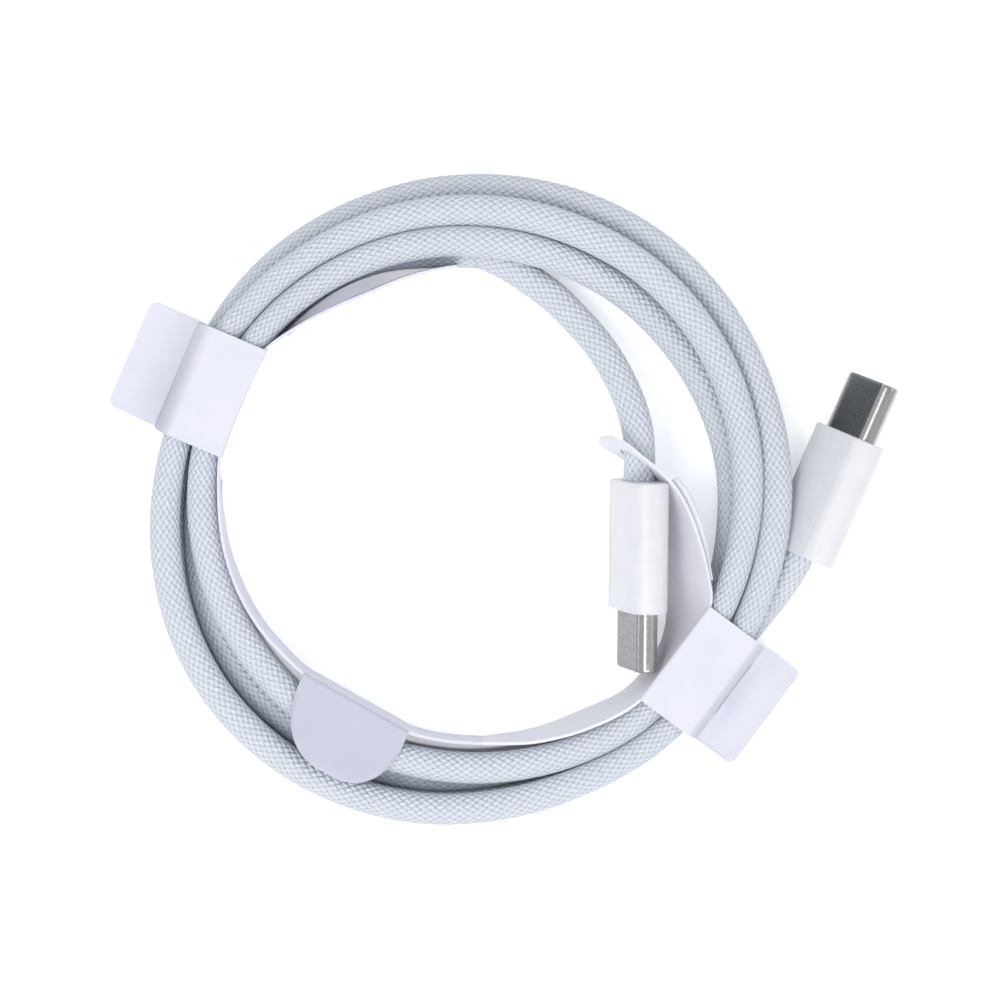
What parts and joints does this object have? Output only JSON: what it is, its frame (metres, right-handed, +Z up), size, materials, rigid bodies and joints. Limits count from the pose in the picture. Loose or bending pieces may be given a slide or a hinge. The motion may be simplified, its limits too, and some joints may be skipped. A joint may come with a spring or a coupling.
{
  "type": "charging cable",
  "caption": "Braided charging cable, coiled and held by a folded card wrap, with a flat-oval steel plug in a smooth white housing at each end.",
  "frame": {"origin": "the coil's axis where it meets the surface that the cable and its card rest on", "axes": "+Z up out of that surface, +X across the coil towards the outer plug, +Y towards the side where the inner end of the cord leaves the coil"},
  "size_m": [0.0927, 0.0757, 0.0114],
  "materials": {
    "housing": "smooth, glossy",
    "steel": "satin",
    "contact_block": "matt",
    "contact": "gold plated",
    "board": "satin",
    "board_part": "matt",
    "chip": "matt",
    "inner_mould": "matt",
    "crimp": "satin",
    "wire": "satin",
    "collar": "matt",
    "braid": "woven",
    "card": "uncoated white card"
  },
  "bodies": {
    "cable_and_card": {"outer_plug_boot": "housing", "outer_plug_shell": "steel", "outer_plug_contact_block": "contact_block", "outer_plug_upper_contacts": "contact", "outer_plug_lower_contacts": "contact", "outer_plug_latch_plate": "steel", "outer_plug_ground_springs": "steel", "outer_plug_board": "board", "outer_plug_board_parts": "board_part", "outer_plug_marker_chip": "chip", "outer_plug_can_top": "steel", "outer_plug_can_bottom": "steel", "outer_plug_inner_mould": "inner_mould", "outer_plug_shell_seat": "inner_mould", "outer_plug_crimp_ring": "crimp", "outer_plug_wires": "wire", "outer_plug_rear_collar": "collar", "inner_plug_boot": "housing", "inner_plug_shell": "steel", "inner_plug_contact_block": "contact_block", "inner_plug_upper_contacts": "contact", "inner_plug_lower_contacts": "contact", "inner_plug_latch_plate": "steel", "inner_plug_ground_springs": "steel", "inner_plug_board": "board", "inner_plug_board_parts": "board_part", "inner_plug_can_top": "steel", "inner_plug_can_bottom": "steel", "inner_plug_inner_mould": "inner_mould", "inner_plug_shell_seat": "inner_mould", "inner_plug_crimp_ring": "crimp", "inner_plug_wires": "wire", "inner_plug_rear_collar": "collar", "outer_tail": "braid", "coil": "braid", "inner_tail": "braid", "card_strip": "card", "card_end": "card", "left_floor_wing": "card", "right_floor_wing": "card"},
    "left_cover": {"left_cover_wing": "card"},
    "right_cover": {"right_cover_wing": "card"},
    "tongue": {"fold_tongue": "card"}
  },
  "joints": [
    {"name": "left_cover_fold", "type": "hinge", "parent": "cable_and_card", "child": "left_cover", "pos_m": [-0.02598, 0.01103, 0.00825], "axis": [0.3907, 0.9205, 0], "range_deg": [0, 110]},
    {"name": "right_cover_fold", "type": "hinge", "parent": "cable_and_card", "child": "right_cover", "pos_m": [0.02375, -0.0177, 0.00825], "axis": [-0.5976, -0.8018, 0], "range_deg": [0, 110]},
    {"name": "tongue_fold", "type": "hinge", "parent": "cable_and_card", "child": "tongue", "pos_m": [-0.01309, -0.02342, 0.00825], "axis": [-0.8729, 0.4879, 0], "range_deg": [0, 110]}
  ]
}
